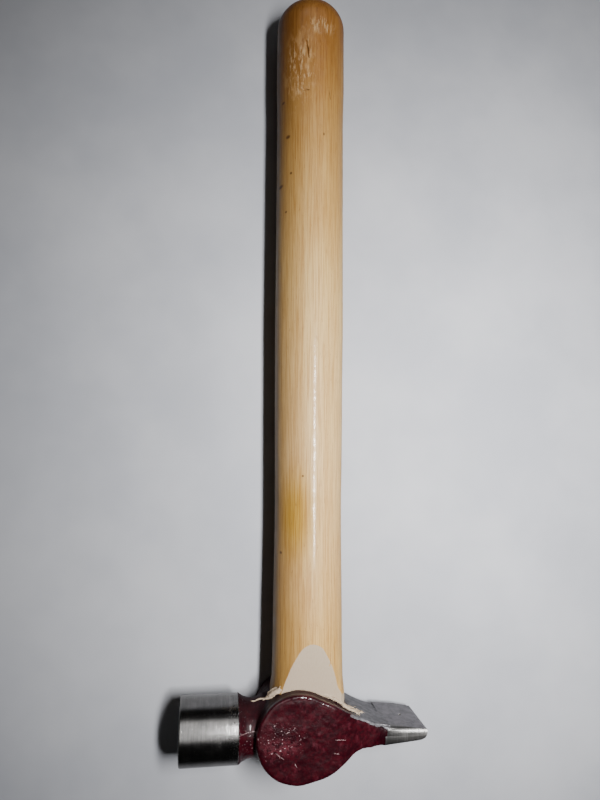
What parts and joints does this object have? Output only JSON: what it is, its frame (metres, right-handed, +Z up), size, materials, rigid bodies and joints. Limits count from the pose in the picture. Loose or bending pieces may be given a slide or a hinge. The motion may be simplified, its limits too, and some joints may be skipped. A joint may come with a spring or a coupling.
{
  "type": "cross-peen hammer",
  "caption": "Small fitter's hammer with a round striking face, a wedge-shaped cross peen and a plain round wooden handle wedged in the eye.",
  "frame": {"origin": "on the lower cheek's flat face, where the handle's axis crosses the head's axis seen across the cheeks", "axes": "+X along the head to the nose of the peen, +Y along the handle to the butt, +Z up from the surface the hammer lies on, across the cheeks"},
  "size_m": [0.0949, 0.3208, 0.029],
  "materials": {
    "painted_steel": "forged steel under thick, glossy dark red enamel; the poll and the peen are bare",
    "handle_wood": "pale birch, turned, clear varnish with an amber tint, bare where it was shaved at the head",
    "wedge_wood": "bare hardwood",
    "bare_steel": "plain mill-finished steel"
  },
  "bodies": {
    "root": {"head": "painted_steel", "handle": "handle_wood", "wooden_wedge": "wedge_wood", "steel_wedge_poll_side": "bare_steel", "steel_wedge_peen_side": "bare_steel"}
  },
  "joints": []
}
